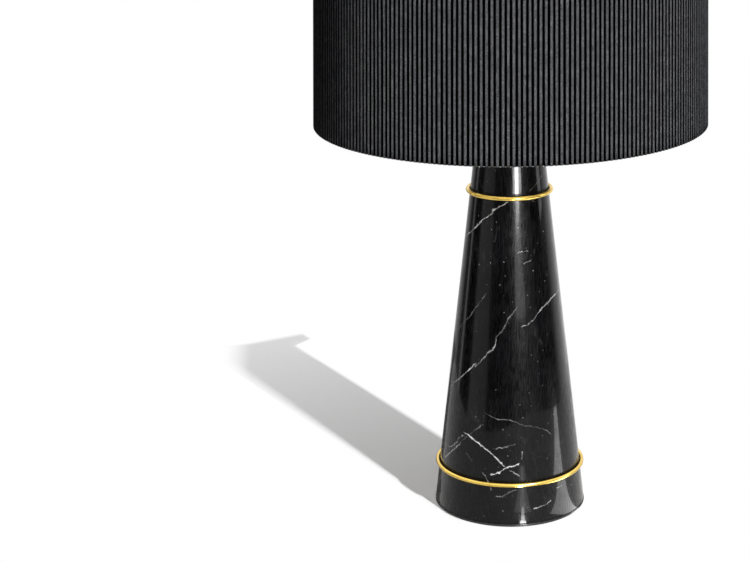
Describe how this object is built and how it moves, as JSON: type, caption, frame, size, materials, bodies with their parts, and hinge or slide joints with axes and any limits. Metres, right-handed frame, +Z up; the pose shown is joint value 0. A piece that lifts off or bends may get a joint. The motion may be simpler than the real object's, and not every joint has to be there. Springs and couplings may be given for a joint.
{
  "type": "table lamp",
  "caption": "Column table lamp: tapered black marble column with thin brass rings, under a pleated black drum shade held on a harp by a finial.",
  "frame": {"origin": "middle of the foot's underside, on the table", "axes": "+Z up the column, -Y to the front, +Y to the cord outlet at the back, +X to the right"},
  "size_m": [0.4, 0.4, 0.6858],
  "materials": {
    "marble": "polished",
    "brass": "polished",
    "black_steel": "satin",
    "felt": "matte",
    "zinc_steel": "satin",
    "nickel_wire": "satin",
    "holder_brass": "satin",
    "fibre": "matte",
    "phenolic": "satin",
    "opal_glass": "matte",
    "bulb_metal": "satin",
    "bulb_black": "gloss",
    "solder": "satin",
    "pleated_fabric": "matte",
    "pale_lining": "matte",
    "white_wire": "satin"
  },
  "bodies": {
    "base": {"felt_pad": "felt", "foot_plate": "black_steel", "marble_column": "marble", "cord_bush": "black_steel", "lower_ring": "brass", "upper_ring": "brass", "threaded_rod": "zinc_steel", "rod_washer": "zinc_steel", "rod_nut": "zinc_steel", "column_cap": "brass", "neck_spool": "brass", "harp_saddle": "nickel_wire", "harp": "nickel_wire", "harp_stud": "nickel_wire", "lampholder_cap": "holder_brass", "cap_set_screw": "zinc_steel", "lampholder_shell": "holder_brass", "insulating_liner": "fibre", "lampholder_core": "phenolic", "screw_shell": "holder_brass", "centre_contact": "holder_brass", "terminal_screws": "holder_brass"},
    "shade": {"shade_cover": "pleated_fabric", "shade_lining": "pale_lining", "shade_bottom_ring": "white_wire", "shade_top_ring": "white_wire", "spider_hub": "white_wire", "spider_arm_1": "white_wire", "spider_arm_2": "white_wire", "spider_arm_3": "white_wire"},
    "finial": {"finial": "brass"},
    "bulb": {"bulb_glass": "opal_glass", "bulb_cap": "bulb_metal", "bulb_insulator": "bulb_black", "bulb_tip": "solder"},
    "switch": {"switch_stem": "holder_brass", "switch_knob": "phenolic"},
    "sleeve_left": {"harp_sleeve_left": "holder_brass"},
    "sleeve_right": {"harp_sleeve_right": "holder_brass"}
  },
  "joints": [
    {"name": "shade_turn", "type": "hinge", "parent": "base", "child": "shade", "pos_m": [0, 0, 0.6602], "axis": [0, 0, 1], "continuous": true},
    {"name": "finial_turn", "type": "hinge", "parent": "base", "child": "finial", "pos_m": [0, 0, 0.6614], "axis": [0, 0, 1], "range_deg": [0, 3600]},
    {"name": "bulb_turn", "type": "hinge", "parent": "base", "child": "bulb", "pos_m": [0, 0, 0.4838], "axis": [0, 0, 1], "range_deg": [0, 1080]},
    {"name": "switch_turn", "type": "hinge", "parent": "base", "child": "switch", "pos_m": [0, 0, 0.4705], "axis": [0, -1, 0], "continuous": true},
    {"name": "sleeve_left_slide", "type": "slide", "parent": "base", "child": "sleeve_left", "axis": [0, 0, 1], "range_m": [0, 0.012]},
    {"name": "sleeve_right_slide", "type": "slide", "parent": "base", "child": "sleeve_right", "axis": [0, 0, 1], "range_m": [0, 0.012]}
  ]
}
